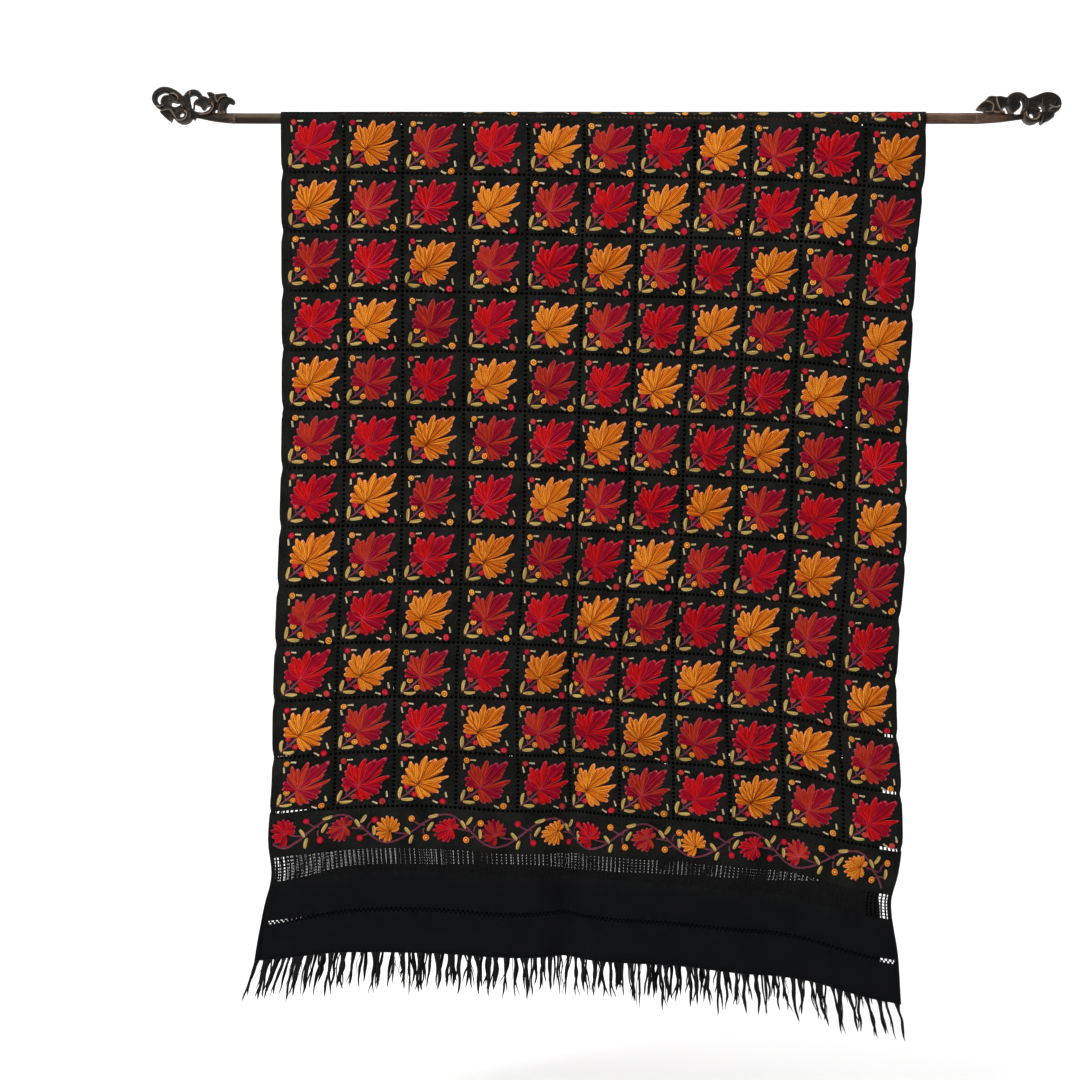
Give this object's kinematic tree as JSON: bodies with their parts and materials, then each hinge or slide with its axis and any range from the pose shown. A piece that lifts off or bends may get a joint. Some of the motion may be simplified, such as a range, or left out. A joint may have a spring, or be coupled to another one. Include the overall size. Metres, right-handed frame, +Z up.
{
  "type": "embroidered stole on a carved hanging rod",
  "caption": "Long black wool stole with leaf embroidery, drawn-thread lines and fringed ends, hung folded in half over a round wooden rod with carved scroll ends.",
  "frame": {"origin": "on the rod's axis, half way along the rod, the line where hooks under the rod's bare stretches hold the part up", "axes": "+X along the rod to the right as seen from the front, +Y from the front fall to the back fall, +Z up"},
  "size_m": [1.0052, 0.0318, 1.0508],
  "materials": {
    "wool_cloth": "fine matt black wool, plain weave, with wool chain-stitch leaves in red, rust and orange",
    "fringe_yarn": "loose black wool threads",
    "rod_wood": "dark brown stained wood, satin, worn along the grain",
    "carved_wood": "near-black stained carved wood, satin, lighter along worn edges"
  },
  "bodies": {
    "root": {"stole_front_fall": "wool_cloth", "stole_rod_turn": "wool_cloth", "stole_back_fall": "wool_cloth", "fringe_front": "fringe_yarn", "fringe_back": "fringe_yarn", "rod": "rod_wood", "finial_left": "carved_wood", "finial_right": "carved_wood"}
  },
  "joints": []
}
